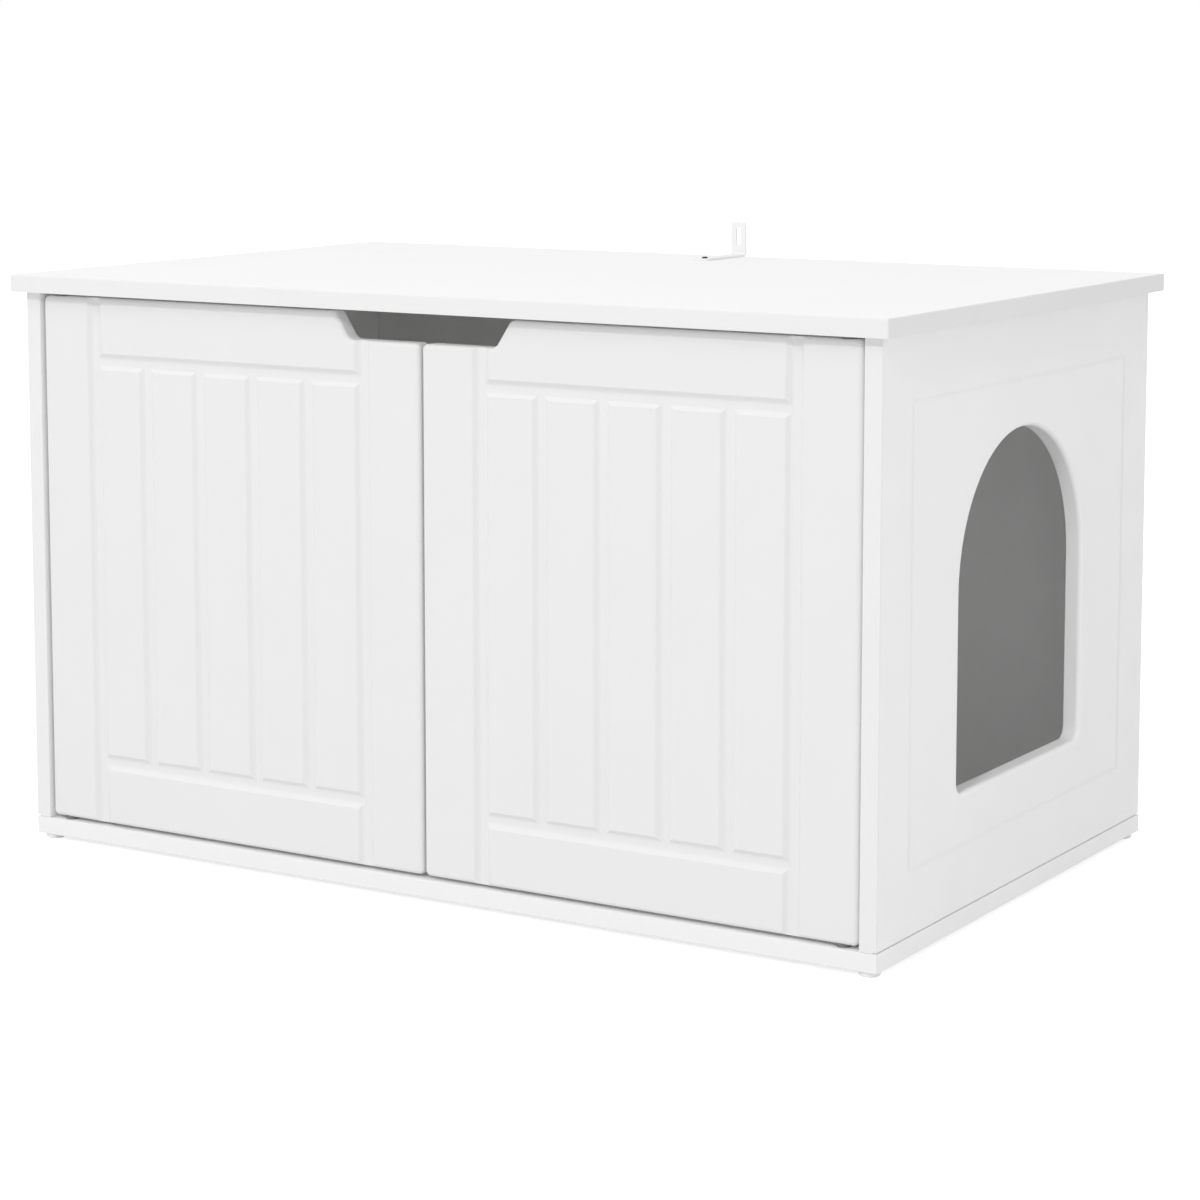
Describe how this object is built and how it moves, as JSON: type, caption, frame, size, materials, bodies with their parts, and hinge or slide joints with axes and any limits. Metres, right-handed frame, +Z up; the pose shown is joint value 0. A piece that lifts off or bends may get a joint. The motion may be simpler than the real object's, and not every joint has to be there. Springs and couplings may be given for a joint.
{
  "type": "cabinet pet house",
  "caption": "White floor-standing cabinet house with twin inset plank-style doors on pivot pins, a finger notch and an arched side entrance.",
  "frame": {"origin": "on the floor, under the middle of the top board", "axes": "+X to the right along the width, towards the arched side; +Y to the back; +Z up"},
  "size_m": [0.9, 0.57, 0.565],
  "materials": {
    "white_board": "satin white melamine on board",
    "door_foil": "satin white foil over routed board",
    "back_board": "white painted hardboard",
    "foot_plastic": "matte",
    "white_metal": "powder coat",
    "black_metal": "black oxide",
    "grey_metal": "grey phosphate",
    "dowel_wood": "raw beech",
    "cam_metal": "zinc",
    "bush_plastic": "nylon",
    "catch_plastic": "matte",
    "magnet": "ferrite",
    "steel": "zinc plated"
  },
  "bodies": {
    "carcass": {"back_panel": "back_board", "bottom_panel": "white_board", "bracket_screw": "black_metal", "cam_bolts": "steel", "cam_locks": "cam_metal", "catch_screws": "steel", "foot_front_left": "foot_plastic", "foot_front_right": "foot_plastic", "foot_rear_left": "foot_plastic", "foot_rear_right": "foot_plastic", "left_catch_housing": "catch_plastic", "left_catch_magnet": "magnet", "left_lower_pivot": "grey_metal", "left_side_panel": "white_board", "left_upper_pivot": "grey_metal", "right_catch_housing": "catch_plastic", "right_catch_magnet": "magnet", "right_lower_pivot": "grey_metal", "right_side_panel": "white_board", "right_upper_pivot": "grey_metal", "top_panel": "white_board", "wall_bracket": "white_metal", "wood_dowels": "dowel_wood"},
    "left_door": {"left_door": "door_foil", "left_lower_bush": "bush_plastic", "left_upper_bush": "bush_plastic", "left_strike_plate": "steel", "left_strike_screws": "steel"},
    "right_door": {"right_door": "door_foil", "right_lower_bush": "bush_plastic", "right_upper_bush": "bush_plastic", "right_strike_plate": "steel", "right_strike_screws": "steel"}
  },
  "joints": [
    {"name": "left_door_hinge", "type": "hinge", "parent": "carcass", "child": "left_door", "pos_m": [-0.4055, -0.264, 0.268], "axis": [0, 0, -1], "range_deg": [0, 110]},
    {"name": "right_door_hinge", "type": "hinge", "parent": "carcass", "child": "right_door", "pos_m": [0.4055, -0.264, 0.268], "axis": [0, 0, 1], "range_deg": [0, 110]}
  ]
}
